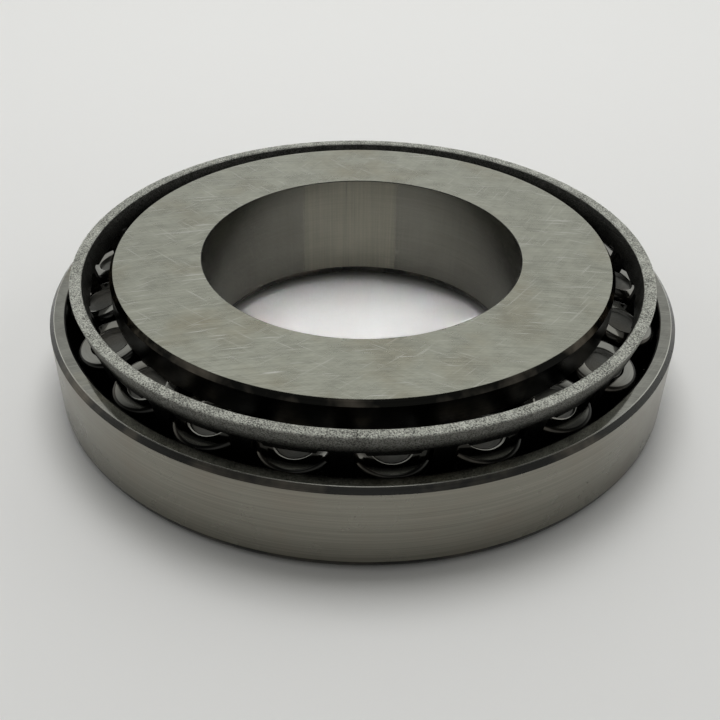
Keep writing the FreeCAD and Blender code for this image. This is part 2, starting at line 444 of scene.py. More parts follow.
@dataclass(frozen=True)
class BoreWithScuffsAndPaintedSheen(Finish):
    """A ground bore, darker than the faces as painted shade, with a brighter stretch along it that
    is partly scuffs from the shaft that it was pressed on and partly a painted reflection band.
    """

    # darker than the other ground steel: painted shade in the bore
    colour: Colour = (0.143, 0.141, 0.124)
    # real scuffs, made brighter as a painted reflection band
    scuffs_and_sheen_colour: Colour = (0.262, 0.252, 0.203)
    roughness: float = 0.24
    rough_share: float = 1.4
    anisotropy: float = 0.6
    scuff_and_sheen_azimuth: float = 93.0
    scuff_and_sheen_spread: float = 19.0
    scuff_and_sheen_fade: float = 1.2
    scuff_length: float = 30.0
    scuffs_per_radian: float = 60.0
    outside_band_share: float = 0.22
    least_scuff: float = 0.35
    line_pitch: float = 0.15
    lines_per_radian: float = 2.0
    line_depth: float = 0.003
    cloud_scale: float = 0.16
    level_ramp: Ramp = (0.6, 1.4, 0.86, 1.14)

    def scuff_and_sheen_share(self, graph: NodeGraph, direction: Socket) -> Socket:
        """How strong the scuffs and the painted reflection band are, by the direction from the
        axis.

        Args:
            graph: the material's tree.
            direction: the unit direction from the axis.

        Returns:
            1 within the brighter stretch of scuffs and painted reflection, and the outside share
            beside it.
        """
        middle = Vector((math.cos(math.radians(self.scuff_and_sheen_azimuth)),
                         math.sin(math.radians(self.scuff_and_sheen_azimuth)), 0.0))
        facing = graph.measure("DOT_PRODUCT", direction, tuple(middle))
        outer = math.cos(math.radians(self.scuff_and_sheen_spread + self.scuff_and_sheen_fade))
        inner = math.cos(math.radians(self.scuff_and_sheen_spread - self.scuff_and_sheen_fade))
        return graph.spread(facing, outer, inner, self.outside_band_share, 1.0)

    def lay_out(self, graph: NodeGraph, shader: bpy.types.Node) -> None:
        """Add the finish's nodes.

        Args:
            graph: the material's tree.
            shader: its Principled shader.
        """
        turned = TurnedPlace.read(graph)
        around = turned.lay(graph, turned.height, self.lines_per_radian, self.line_pitch)
        lines = graph.noise(around, detail=3.0)
        along = turned.lay(graph, turned.height, self.scuffs_per_radian, self.scuff_length)
        scuffs = graph.spread(graph.noise(along, detail=4.0, harshness=0.7), *NOISE_SPAN,
                              self.least_scuff, 1.0)
        # scuffs, strongest in the painted reflection band
        mixed = graph.calc("MULTIPLY", self.scuff_and_sheen_share(graph, turned.direction), scuffs)
        clouds = graph.noise(turned.place, self.cloud_scale, detail=3.0)
        level = graph.spread(graph.calc("ADD", lines, clouds), *self.level_ramp)
        colour = graph.scale(graph.tint(mixed, self.colour, self.scuffs_and_sheen_colour), level)
        roughness = graph.spread(mixed, 0.0, 1.0, self.roughness,
                                 self.roughness * self.rough_share)
        graph.dress_metal(shader, colour, roughness, lines, self.line_depth)
        graph.feed(shader.inputs["Anisotropic"], self.anisotropy)
        graph.feed(shader.inputs["Tangent"], tuple(AXIS))


@dataclass(frozen=True)
class TumbledSheet(Finish):
    """Pressed sheet tumbled in a barrel: a peened grain, with painted shade that darkens it below
    the rim.
    """

    colour: Colour = (0.82, 0.83, 0.76)
    dark: Colour = (0.085, 0.085, 0.077)
    roughness: float = 0.42
    smooth_share: float = 0.8
    rough_share: float = 1.2
    grain: float = 0.20
    grain_depth: float = 0.05
    worn_scale: float = 0.5
    worn_share: float = 0.25
    peen_span: Span = (0.46, 0.73)
    full_shade_height: float = 14.4
    no_shade_height: float = 16.4
    painted_shade_share: float = 0.06

    def lay_out(self, graph: NodeGraph, shader: bpy.types.Node) -> None:
        """Add the finish's nodes.

        Args:
            graph: the material's tree.
            shader: its Principled shader.
        """
        turned = TurnedPlace.read(graph)
        place = turned.place
        pits = graph.add("ShaderNodeTexVoronoi", {"Vector": place, "Scale": 1.0 / self.grain})
        fine = graph.noise(place, 1.0 / self.grain, detail=2.0, harshness=0.7)
        relief = graph.calc("ADD", pits.outputs["Distance"], fine)
        worn = graph.noise(place, self.worn_scale, detail=4.0, harshness=0.6)
        peened = graph.calc("ADD", fine, graph.calc("MULTIPLY", worn, self.worn_share))
        level = graph.spread(peened, *self.peen_span)
        # painted shade: the sheet's colour darkens from the rim down the wall
        painted_height_shade = graph.spread(turned.height, self.full_shade_height, self.no_shade_height,
                             self.painted_shade_share, 1.0)
        colour = graph.scale(graph.tint(level, self.dark, self.colour), painted_height_shade)
        roughness = graph.spread(worn, *NOISE_SPAN, self.roughness * self.rough_share,
                                 self.roughness * self.smooth_share)
        graph.dress_metal(shader, colour, roughness, relief, self.grain_depth)


@dataclass(frozen=True)
class FloorPaint(Finish):
    """A plain, pale, matt studio floor that sweeps up into the room far from the bearing."""

    colour: Colour = (0.80, 0.80, 0.785)
    far_colour: Colour = (0.74, 0.745, 0.72)
    roughness: float = 0.9
    specular_level: float = 0.1
    sweep_span: Span = (0.12, 0.45)

    def lay_out(self, graph: NodeGraph, shader: bpy.types.Node) -> None:
        """Add the finish's nodes.

        Args:
            graph: the material's tree.
            shader: its Principled shader.
        """
        graph.feed(shader.inputs["Base Color"], (*self.colour, 1.0))
        graph.feed(shader.inputs["Roughness"], self.roughness)
        graph.feed(shader.inputs["Specular IOR Level"], self.specular_level)
        place = graph.add("ShaderNodeTexCoord", {}).outputs["Object"]
        far = graph.spread(graph.measure("LENGTH", place), *self.sweep_span)
        rays = graph.add("ShaderNodeLightPath", {})
        seen = graph.calc("MAXIMUM", rays.outputs["Is Camera Ray"], rays.outputs["Is Glossy Ray"])
        seen = graph.calc("MAXIMUM", seen, rays.outputs["Is Transmission Ray"])
        sweep = graph.add("ShaderNodeEmission", {"Color": (*self.far_colour, 1.0)})
        mixed = graph.add("ShaderNodeMixShader", {0: graph.calc("MULTIPLY", far, seen),
                                                  1: shader.outputs[0], 2: sweep.outputs[0]})
        output = graph.tree.nodes["Material Output"]
        graph.feed(output.inputs["Surface"], mixed.outputs[0])


# the bearing's own finishes
RING_FACE = GroundFace("ground_ring_face", roughness=0.28)
CUP_FACE = GroundFace("ground_cup_face", colour=(0.25, 0.25, 0.228),
                      scratch=(0.31, 0.31, 0.285), roughness=0.08, relief=0.0015)
BORE = BoreWithScuffsAndPaintedSheen("ground_bore_painted_shade_and_sheen")
CUP_OUTSIDE = TurnedSteel("ground_cup_outside", colour=(0.245, 0.236, 0.20), roughness=0.29,
                          anisotropy=0.4)
RING_EDGE = TurnedSteel("turned_ring_edge", colour=(0.042, 0.042, 0.040), roughness=0.28)
RIB_EDGE = TurnedSteel("turned_rib_edge", colour=(0.013, 0.013, 0.012), roughness=0.28,
                       grazing_tint=0.1)
# a brighter colour on the cup face's outer edge: painted highlight
EDGE_PAINTED_HIGHLIGHT = TurnedSteel("ring_edge_painted_highlight", colour=(0.55, 0.55, 0.51), roughness=0.22)
RIB_OUTSIDE = TurnedSteel("dark_rib_outside", colour=(0.035, 0.035, 0.034), roughness=0.3)
RACEWAY = TurnedSteel("honed_raceway", colour=(0.42, 0.42, 0.41), roughness=0.16,
                      line_depth=0.001)
SHEET = TumbledSheet("tumbled_cage_sheet")
# the wall's outside and inside take darker copies of the tumbled sheet: painted shade
SHEET_OUTSIDE_SHADED = TumbledSheet("tumbled_cage_outside_painted_shade", colour=(0.40, 0.40, 0.365), roughness=0.5,
                             full_shade_height=14.5, no_shade_height=15.9, painted_shade_share=0.05)
SHEET_INSIDE_SHADED = TumbledSheet("cage_inside_painted_shade", colour=(0.14, 0.14, 0.13),
                            dark=(0.03, 0.03, 0.027))
# painted shade: the rollers' large-end corners are made near black
ROLLER_CORNER_PAINTED_SHADE = TurnedSteel("roller_corner_painted_shade", colour=(0.035, 0.035, 0.033), roughness=0.2,
                            lay=Lay.FACE)
ROLLER_END = TurnedSteel("ground_roller_end", colour=(0.27, 0.27, 0.251), roughness=0.1,
                         lay=Lay.FACE, line_contrast=0.12)
ROLLER_RECESS = TurnedSteel("roller_end_recess", colour=(0.25, 0.25, 0.235), roughness=0.5,
                            lay=Lay.FACE)
ROLLER_BODY = TurnedSteel("honed_roller_body", colour=(0.40, 0.40, 0.39), roughness=0.18,
                          line_depth=0.001)
FLOOR_PAINT = FloorPaint("pale_floor")


# ---------------------------------------------------------------- turned shapes

def round_off(mesh: bmesh.types.BMesh, parts: list[bmesh.types.BMVert | bmesh.types.BMEdge],
              reach: float, steps: int, affect: str) -> None:
    """Round corners or edges with an arc.

    Args:
        mesh: the mesh that they are in.
        parts: the vertices or edges to round.
        reach: how far from them the arc starts, along each side.
        steps: how many faces make the arc.
        affect: VERTICES or EDGES.
    """
    bmesh.ops.bevel(mesh, geom=parts, offset=reach, offset_type="OFFSET", segments=steps,
                    profile=0.5, affect=affect, material=-1)


@dataclass(frozen=True)
class Corner:
    """A corner of a turned outline, with the finish of the surface that starts there."""

    radius: float
    height: float
    finish: Finish
    rounding: float = 0.0
    edge_finish: Finish | None = None


@dataclass(frozen=True)
class TurnedOutline:
    """A closed outline beside the turning axis, and how finely it is turned."""

    corners: tuple[Corner, ...]
    segments: int
    arc_steps: int = 5
    edge_share: float = 0.98

    def rounding_reach(self, index: int) -> float:
        """How far along its two sides a corner's rounding starts.

        Args:
            index: the corner's place in the outline.

        Returns:
            The distance from the corner to either end of its arc.
        """
        here = self.point(index)
        angle = (self.point(index - 1) - here).angle(self.point(index + 1) - here)
        return self.corners[index].rounding / math.tan(angle / 2.0)

    def point(self, index: int) -> Vector:
        """A corner's place in the outline's plane; the index goes round."""
        corner = self.corners[index % len(self.corners)]
        return Vector((corner.radius, 0.0, corner.height))

    def finish_at(self, place: Vector) -> Finish:
        """The finish of the surface that passes a place.

        Args:
            place: radius and height, as a vector in the outline's plane.

        Returns:
            The finish of the nearest side, or of the corner whose rounding it is.
        """
        nearest: list[tuple[float, Finish]] = []
        for index, corner in enumerate(self.corners):
            if corner.rounding and corner.edge_finish:
                edge_reach = self.rounding_reach(index) * self.edge_share
                if (place - self.point(index)).length < edge_reach:
                    return corner.edge_finish
            start, side = self.point(index), self.point(index + 1) - self.point(index)
            share = min(max((place - start).dot(side) / side.length_squared, 0.0), 1.0)
            nearest.append(((place - start - side * share).length, corner.finish))
        return min(nearest, key=lambda pair: pair[0])[1]

    def turn(self) -> bmesh.types.BMesh:
        """Round the outline's corners and spin it about the axis.

        Returns:
            The turned mesh, closed, with its faces outwards.
        """
        mesh = bmesh.new()
        vertices = [mesh.verts.new(self.point(index)) for index in range(len(self.corners))]
        mesh.faces.new(vertices)
        for index, vertex in enumerate(vertices):
            if self.corners[index].rounding:
                round_off(mesh, [vertex], self.rounding_reach(index), self.arc_steps, "VERTICES")
        bmesh.ops.delete(mesh, geom=mesh.faces[:], context="FACES_ONLY")
        on_axis = [edge for edge in mesh.edges if all(v.co.x < MERGE_DISTANCE for v in edge.verts)]
        bmesh.ops.delete(mesh, geom=on_axis, context="EDGES")
        bmesh.ops.spin(mesh, geom=mesh.verts[:] + mesh.edges[:], cent=ORIGIN, axis=AXIS,
                       angle=math.tau, steps=self.segments, use_merge=True)
        bmesh.ops.remove_doubles(mesh, verts=mesh.verts[:], dist=MERGE_DISTANCE)
        bmesh.ops.recalc_face_normals(mesh, faces=mesh.faces[:])
        return mesh

    def finish_of_face(self, face: bmesh.types.BMFace) -> Finish:
        """The finish of one turned face, told by where its centre lies."""
        centre = face.calc_center_median()
        return self.finish_at(Vector((math.hypot(centre.x, centre.y), 0.0, centre.z)))


def make_piece(name: str, mesh: bmesh.types.BMesh,
               finish_of: Callable[[bmesh.types.BMFace], Finish],
               place: Matrix = Matrix.Identity(4)) -> bpy.types.Object:
    """Make a mesh an object at the origin, with its place in its mesh.

    Args:
        name: the object's name.
        mesh: the shape in millimetres about its own turning axis; it is used up.
        finish_of: the finish of each of its faces.
        place: where the shape goes, in millimetres.

    Returns:
        The new object, linked to the scene.
    """
    turned = mesh.verts.layers.float_vector.new(TURNED_PLACE)
    for vertex in mesh.verts:
        vertex[turned] = vertex.co
    data = bpy.data.meshes.new(name)
    slots: dict[str, int] = {}
    for face in mesh.faces:
        finish = finish_of(face)
        if finish.name not in slots:
            slots[finish.name] = len(slots)
            data.materials.append(finish.material())
        face.material_index = slots[finish.name]
        face.smooth = True
    bmesh.ops.transform(mesh, matrix=Matrix.Scale(METRES, 4) @ place, verts=mesh.verts[:])
    mesh.to_mesh(data)
    mesh.free()
    piece = bpy.data.objects.new(name, data)
    bpy.context.scene.collection.objects.link(piece)
    shading = piece.modifiers.new("even_shading", "WEIGHTED_NORMAL")
    shading.keep_sharp = True
    return piece


def stand_in(piece: bpy.types.Object, node: str, body: str) -> None:
    """Let a piece stand for its CAD node and move with that node's body.

    Args:
        piece: the dressed piece.
        node: the CAD node that it replaces.
        body: the body that it rides on.
    """
    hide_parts(node)
    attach(piece, body)
    LOG.info("%s: %d faces, stands for %s", piece.name, len(piece.data.polygons), node)


# ---------------------------------------------------------------- the bearing's pieces

@dataclass(frozen=True)
class RollingSection:
    """The section that the rollers lie in: every taper meets at one apex on the axis."""

    count: int = 21
    first_azimuth: float = -86.0
    tilt: float = 16.0
    taper: float = 2.1
    roller_length: float = 10.9
    pitch_radius: float = 36.8
    large_end_height: float = 13.15

    @property
    def slope(self) -> float:
        """The rollers' tilt from the bearing's axis, in radians."""
        return math.radians(self.tilt)

    @property
    def flank(self) -> float:
        """The angle between a roller's axis and its flank, in radians."""
        return math.radians(self.taper)

    @property
    def large_reach(self) -> float:
        """From the apex to a roller's large end, along the roller's axis."""
        return self.pitch_radius / math.sin(self.slope)

    @property
    def small_reach(self) -> float:
        """From the apex to a roller's small end, along the roller's axis."""
        return self.large_reach - self.roller_length

    @property
    def apex_height(self) -> float:
        """Height of the apex, which lies below the bearing."""
        return self.large_end_height - self.pitch_radius / math.tan(self.slope)

    def at(self, reach: float, offset: float) -> tuple[float, float]:
        """Radius and height of a point given in a roller's section.

        Args:
            reach: distance from the apex along the roller's axis.
            offset: distance outwards from the roller's axis.

        Returns:
            The point's radius and height.
        """
        radius = reach * math.sin(self.slope) + offset * math.cos(self.slope)
        height = self.apex_height + reach * math.cos(self.slope) - offset * math.sin(self.slope)
        return radius, height

    def square_at(self, reach: float, radius: float) -> tuple[float, float]:
        """The point of a given radius on the plane square to the roller's axis.

        Args:
            reach: the plane's distance from the apex.
            radius: the point's radius.

        Returns:
            The point's radius and height.
        """
        offset = (radius - reach * math.sin(self.slope)) / math.cos(self.slope)
        return self.at(reach, offset)

    def azimuth(self, number: int) -> float:
        """Angle of a roller round the bearing, in radians, counted from 0."""
        return math.radians(self.first_azimuth) + math.tau * number / self.count


@dataclass
class Cup:
    """The outer ring, with its conical raceway."""

    section: RollingSection
    outer_radius: float = 44.0
    width: float = 12.6
    chamfer_radial: float = 0.65
    chamfer_axial: float = 0.7
    back_corner: float = 1.4
    back_lip: float = 0.8
    front_lip: float = 0.25
    chamfer_edge: float = 0.1
    highlight_edge_rounding: float = 0.16
    race_clearance: float = 0.05
    segments: int = 360

    def race_radius(self, height: float) -> float:
        """Radius of the raceway at a height."""
        angle = self.section.slope + self.section.flank
        rise = height - self.section.apex_height
        return rise * math.tan(angle) + self.race_clearance / math.cos(angle)

    def outline(self) -> TurnedOutline:
        """The ring's outline, from the raceway's small end round to its large end."""
        top = self.width
        chamfer_foot = top - self.chamfer_axial
        face_edge = self.outer_radius - self.chamfer_radial
        return TurnedOutline((
            Corner(self.race_radius(0.0), 0.0, CUP_FACE, self.back_lip, RING_EDGE),
            Corner(self.outer_radius, 0.0, CUP_OUTSIDE, self.back_corner, RING_EDGE),
            Corner(self.outer_radius, chamfer_foot, RING_EDGE, self.chamfer_edge),
            Corner(face_edge, top, CUP_FACE, self.highlight_edge_rounding, EDGE_PAINTED_HIGHLIGHT),
            Corner(self.race_radius(top), top, RACEWAY, self.front_lip, RING_EDGE),
        ), self.segments)

    def build(self) -> None:
        """Turn the ring and stand it in for its node."""
        outline = self.outline()
        piece = make_piece("outer_ring", outline.turn(), outline.finish_of_face)
        stand_in(piece, "cup", "cup")


@dataclass
class Cone:
    """The inner ring: bore, raceway, and a rib at each end of it."""

    section: RollingSection
    bore_radius: float = 22.5
    back_height: float = 18.0
    width: float = 17.2
    rib_radius: float = 35.25
    rib_chamfer_radial: float = 0.55
    rib_chamfer_axial: float = 0.75
    rib_lower_corner: float = 0.2
    small_rib_radius: float = 30.3
    small_rib_corner: float = 0.5
    bore_back_corner: float = 0.1
    bore_front_corner: float = 1.5
    relief_width: float = 0.4
    chamfer_edge: float = 0.1
    race_clearance: float = 0.05
    rib_clearance: float = 0.12
    small_end_clearance: float = 0.25
    segments: int = 360

    def race_point(self, reach: float) -> tuple[float, float]:
        """Radius and height of the raceway at a distance from the apex."""
        flank = self.section.flank
        offset = reach * math.tan(flank) + self.race_clearance / math.cos(flank)
        return self.section.at(reach, -offset)

    def outline(self) -> TurnedOutline:
        """The ring's outline, from the bore's front round to its back."""
        rib_reach = self.section.large_reach + self.rib_clearance
        foot_reach = self.section.small_reach - self.small_end_clearance
        front, back = self.back_height - self.width, self.back_height
        relief = self.relief_width
        foot_radius, foot_height = self.race_point(foot_reach)
        top_radius, top_height = self.race_point(rib_reach)
        return TurnedOutline((
            Corner(self.bore_radius, front, CUP_FACE, self.bore_front_corner, RING_EDGE),
            Corner(self.small_rib_radius, front, RING_EDGE, self.small_rib_corner, RING_EDGE),
            Corner(*self.section.square_at(foot_reach, self.small_rib_radius), RING_EDGE),
            Corner(*self.section.square_at(foot_reach, foot_radius + relief), RING_EDGE),
            Corner(foot_radius - relief / 2, foot_height, RING_EDGE),
            Corner(*self.race_point(foot_reach + relief), RACEWAY),
            Corner(*self.race_point(rib_reach - relief), RING_EDGE),
            Corner(top_radius - relief / 2, top_height, RING_EDGE),
            Corner(*self.section.square_at(rib_reach, top_radius + relief), RACEWAY),
            Corner(*self.section.square_at(rib_reach, self.rib_radius), RIB_OUTSIDE,
                   self.rib_lower_corner),
            Corner(self.rib_radius, back - self.rib_chamfer_axial, RIB_EDGE, self.chamfer_edge),
            Corner(self.rib_radius - self.rib_chamfer_radial, back, RING_FACE, self.chamfer_edge),
            Corner(self.bore_radius, back, BORE, self.bore_back_corner, RING_EDGE),
        ), self.segments)

    def build(self) -> None:
        """Turn the ring and stand it in for its node."""
        outline = self.outline()
        piece = make_piece("inner_ring", outline.turn(), outline.finish_of_face)
        stand_in(piece, "cone", "cone")


@dataclass
class Rollers:
    """The full set of tapered rollers, each with a recess in its large end."""

    section: RollingSection
    recess_radius: float = 2.85
    recess_depth: float = 0.5
    recess_draft: float = 0.15
    recess_edge: float = 0.12
    large_corner: float = 0.7
    dish_width: float = 0.3
    dish_depth: float = 0.06
    small_corner: float = 0.6
    segments: int = 96

    def outline(self) -> TurnedOutline:
        """A roller's outline about its own axis, with its large end's face at height 0."""
        foot = -self.section.roller_length
        flank = math.tan(self.section.flank)
        dish_radius = self.recess_radius - self.dish_width
        return TurnedOutline((
            Corner(0.0, foot, ROLLER_END),
            Corner(self.section.small_reach * flank, foot, ROLLER_BODY, self.small_corner),
            Corner(self.section.large_reach * flank, 0.0, ROLLER_END, self.large_corner,
                   ROLLER_CORNER_PAINTED_SHADE),
            Corner(self.recess_radius, 0.0, ROLLER_END, self.recess_edge),
            Corner(dish_radius, -self.dish_depth, ROLLER_RECESS, self.recess_edge),
            Corner(dish_radius - self.recess_draft, -self.recess_depth, ROLLER_RECESS,
                   self.recess_edge),
            Corner(0.0, -self.recess_depth, ROLLER_RECESS),
        ), self.segments, arc_steps=4)

    def place(self, number: int) -> Matrix:
        """Where a roller goes: tilted outwards, its large end's centre on the pitch circle."""
        azimuth = self.section.azimuth(number)
        centre = Vector((self.section.pitch_radius, 0.0, self.section.large_end_height))
        return (Matrix.Rotation(azimuth, 4, "Z") @ Matrix.Translation(centre)
                @ Matrix.Rotation(self.section.slope, 4, "Y"))

    def build(self) -> None:
        """Turn every roller and stand it in for its node."""
        outline = self.outline()
        for number in range(self.section.count):
            label = f"{number + 1:02d}"
            piece = make_piece(f"tapered_roller_{label}", outline.turn(), outline.finish_of_face,
                               self.place(number))
            stand_in(piece, f"roller_{label}", f"roller_{label}")


@dataclass
class Cage:
    """The pressed cage: a conical wall with a window for each roller and a turned-in foot.

    One bar is drawn flat, as an I between two window centres: x runs round the bearing,
    from -0.5 to 0.5 of the rollers' pitch, y along the wall in millimetres from the rollers'
    large ends, and z through the sheet, 0 inside and 1 outside.
    """

    section: RollingSection
    sheet_thickness: float = 1.6
    sheet_offset: float = 1.0
    rim_height: float = 17.25
    window_top: float = 1.4
    window_below: float = 0.15
    window_clearance: float = 0.2
    relief_width: float = 1.4
    relief_rise: float = 0.5
    relief_rounding: float = 0.24
    relief_top_share: float = 1.4
    flange_bore_radius: float = 31.6
    inner_bend: float = 0.4
    small_end_clearance: float = 0.25
    edge_rounding: float = 0.13
    rim_rounding: float = 0.25
    wall_facing: float = 0.8
    columns: int = 4
    bar_rows: int = 8
    bend_steps: int = 5
    corner_steps: int = 4
    rim_steps: int = 4
    edge_steps: int = 2
    sharp_angle: float = 40.0
    cut_tolerance: float = 0.01
    join_tolerance: float = 0.001
    seam_distance: float = 0.002

    @property
    def window_bottom(self) -> float:
        """Where the windows end at the foot."""
        return -self.section.roller_length - self.window_below

    @property
    def bend_top(self) -> float:
        """Where the wall starts to bend into the flange, inside."""
        return -self.section.roller_length - self.small_end_clearance + self.inner_bend

    def window_half_angle(self, along: float, depth: float) -> float:
        """Half the angle that a window takes up round the bearing.

        Args:
            along: place along the wall, from the rollers' large ends.
            depth: place through the sheet, 0 inside and 1 outside.

        Returns:
            The angle from the window's centre to its side, in radians.
        """
        reach = self.section.large_reach + along
        offset = self.sheet_offset + depth * self.sheet_thickness
        radius = self.section.at(reach, offset)[0]
        roller_radius = reach * math.tan(self.section.flank)
        # the sheet is curved, so at the window's side it lies deeper beside the roller
        sag = (roller_radius ** 2 - offset ** 2) / (2.0 * radius) * math.cos(self.section.slope)
        half_width = math.sqrt(roller_radius ** 2 - (offset - sag) ** 2)
        return math.atan2(half_width + self.window_clearance, radius)

    def flat_pitch(self) -> float:
        """Width of the flat bar's blank, in millimetres: one pitch round the bearing."""
        return math.tau * self.section.pitch_radius / self.section.count

    def flat_bar_side(self) -> float:
        """Where a bar's side is drawn in the flat."""
        window_share = self.window_half_angle(0.0, 0.5) * self.section.count / math.tau
        return self.flat_pitch() * (0.5 - window_share)

    def flat_bend_end(self) -> float:
        """Where the bend ends in the flat, by its length in the middle of the sheet."""
        return self.bend_top - (self.inner_bend + self.sheet_thickness / 2) * math.pi / 2

    def flat_outline(self) -> list[tuple[float, float, float]]:
        """Half of the flat bar's outline, from the flange's edge up to the rim.

        Returns:
            The corners' x and y, and the radius that rounds each.
        """
        side, edge = self.flat_bar_side(), self.flat_pitch() / 2
        hole = side + self.relief_width
        hole_top = self.window_top + self.relief_rise
        top_rounding = self.relief_rounding * self.relief_top_share
        return [
            (edge, self.flat_foot(), 0.0),
            (edge, self.window_bottom, 0.0),
            (side, self.window_bottom, self.relief_rounding),
            (side, hole_top, top_rounding),
            (hole, hole_top, top_rounding),
            (hole, self.window_top, self.relief_rise - top_rounding),
            (edge, self.window_top, 0.0),
            (edge, self.flat_rim(), 0.0),
        ]

    def flat_foot(self) -> float:
        """Where the flange's edge is drawn in the flat."""
        bend_offset = self.sheet_offset - self.inner_bend
        foot_reach = self.section.small_reach - self.small_end_clearance
        return self.flat_bend_end() - (bend_offset - self.flange_offset(foot_reach))

    def flat_rim(self) -> float:
        """Where the rim's edge is drawn in the flat, by the sheet's inner face."""
        return self.rim_reach(0.0) - self.section.large_reach

    def flange_offset(self, reach: float) -> float:
        """Offset of the flange's edge from the roller's axis, on a plane square to it."""
        slope = self.section.slope
        return (self.flange_bore_radius - reach * math.sin(slope)) / math.cos(slope)

    def rim_reach(self, depth: float) -> float:
        """Distance from the apex to the flat rim, at a depth through the sheet."""
        offset = self.sheet_offset + depth * self.sheet_thickness
        rise = self.rim_height - self.section.apex_height
        return (rise + offset * math.sin(self.section.slope)) / math.cos(self.section.slope)

    def fold(self, along: float, depth: float) -> tuple[float, float]:
        """Where a place on the flat blank goes in the roller's section.

        Args:
            along: the place's y on the flat blank.
            depth: its place through the sheet, 0 inside and 1 outside.

        Returns:
            Its distance from the apex along the roller's axis, and its offset from the axis.
        """
        section = self.section
        through = depth * self.sheet_thickness
        if along > self.window_top:
            low = section.large_reach + self.window_top
            share = (along - self.window_top) / (self.flat_rim() - self.window_top)
            return low + share * (self.rim_reach(depth) - low), self.sheet_offset + through
        if along >= self.bend_top:
            return section.large_reach + along, self.sheet_offset + through
        radius = self.inner_bend + through
        cut = self.bend_top - self.window_bottom
        cut_angle = math.asin(cut / radius)
        bend_end = self.flat_bend_end()
        if along >= self.window_bottom:
            angle = math.asin((self.bend_top - along) / radius)
        else:
            share = (self.window_bottom - along) / (self.window_bottom - bend_end)
            angle = cut_angle + min(share, 1.0) * (math.pi / 2 - cut_angle)
        reach = section.large_reach + self.bend_top - radius * math.sin(angle)
        bend_offset = self.sheet_offset - self.inner_bend
        if along >= bend_end:
            return reach, bend_offset + radius * math.cos(angle)
        share = (bend_end - along) / (bend_end - self.flat_foot())
        return reach, bend_offset + share * (self.flange_offset(reach) - bend_offset)

    def bend_vertex(self, vertex: bmesh.types.BMVert) -> None:
        """Bring one vertex of the flat bar to its place on the cage.

        Args:
            vertex: the vertex, which is moved.
        """
        across, along, depth = vertex.co
        half_pitch = math.pi / self.section.count
        bar = half_pitch - self.window_half_angle(max(along, self.window_bottom), depth)
        side, edge = self.flat_bar_side(), self.flat_pitch() / 2
        if abs(across) <= side:
            angle = across / side * bar
        else:
            share = (abs(across) - side) / (edge - side)
            angle = math.copysign(bar + share * (half_pitch - bar), across)
        radius, height = self.section.at(*self.fold(along, depth))
        vertex.co = Vector((radius * math.cos(angle), radius * math.sin(angle), height))

    def cut_lines(self) -> list[tuple[Vector, Vector]]:
        """The lines that divide the flat bar so that it can be bent.

        Returns:
            A point on each line, and the direction square to it.
        """
        side, edge = self.flat_bar_side(), self.flat_pitch() / 2
        hole = side + self.relief_width
        columns = [side * share for share in (0.0, 1 / 3, 2 / 3, 1.0)]
        columns += [hole + (edge - hole) * step / self.columns for step in range(self.columns)]
        columns += [-column for column in columns if column]
        rows = [self.window_top + self.relief_rise * 2, self.window_top, self.window_bottom,
                self.bend_top, self.bend_top - (self.bend_top - self.window_bottom) / 2]
        bend_end, foot = self.flat_bend_end(), self.flat_foot()
        rows += [bend_end + (self.window_bottom - bend_end) * step / self.bend_steps
                 for step in range(self.bend_steps)]
        rows.append((bend_end + foot) / 2)
        rows += [self.bend_top + (self.window_top - self.bend_top) * step / self.bar_rows
                 for step in range(1, self.bar_rows)]
        lines = [(Vector((column, 0.0, 0.0)), Vector((1.0, 0.0, 0.0))) for column in columns]
        return lines + [(Vector((0.0, row, 0.0)), Vector((0.0, 1.0, 0.0))) for row in rows]

    def blank(self) -> bmesh.types.BMesh:
        """Draw one bar flat, round its corners, divide it and give it its thickness.

        Returns:
            The bar's mesh, open where it joins its neighbours.
        """
        mesh = bmesh.new()
        right = self.flat_outline()
        corners = right + [(-x, y, rounding) for x, y, rounding in reversed(right)]
        vertices = [mesh.verts.new((x, y, 0.0)) for x, y, _ in corners]
        mesh.faces.new(vertices)
        for vertex, (_, _, rounding) in zip(vertices, corners):
            if rounding:
                round_off(mesh, [vertex], rounding, self.corner_steps, "VERTICES")
        for point, square in self.cut_lines():
            everything = mesh.verts[:] + mesh.edges[:] + mesh.faces[:]
            bmesh.ops.bisect_plane(mesh, geom=everything, dist=self.cut_tolerance,
                                   plane_co=point, plane_no=square)
        raised = bmesh.ops.extrude_face_region(mesh, geom=mesh.faces[:], use_keep_orig=True)
        tops = [item for item in raised["geom"] if isinstance(item, bmesh.types.BMVert)]
        bmesh.ops.translate(mesh, vec=AXIS, verts=tops)
        edge = self.flat_pitch() / 2 - self.join_tolerance
        ends = [face for face in mesh.faces
                if abs(sum(math.copysign(1, v.co.x) for v in face.verts)) == len(face.verts)
                and all(abs(v.co.x) > edge for v in face.verts)]
        bmesh.ops.delete(mesh, geom=ends, context="FACES_ONLY")
        return mesh

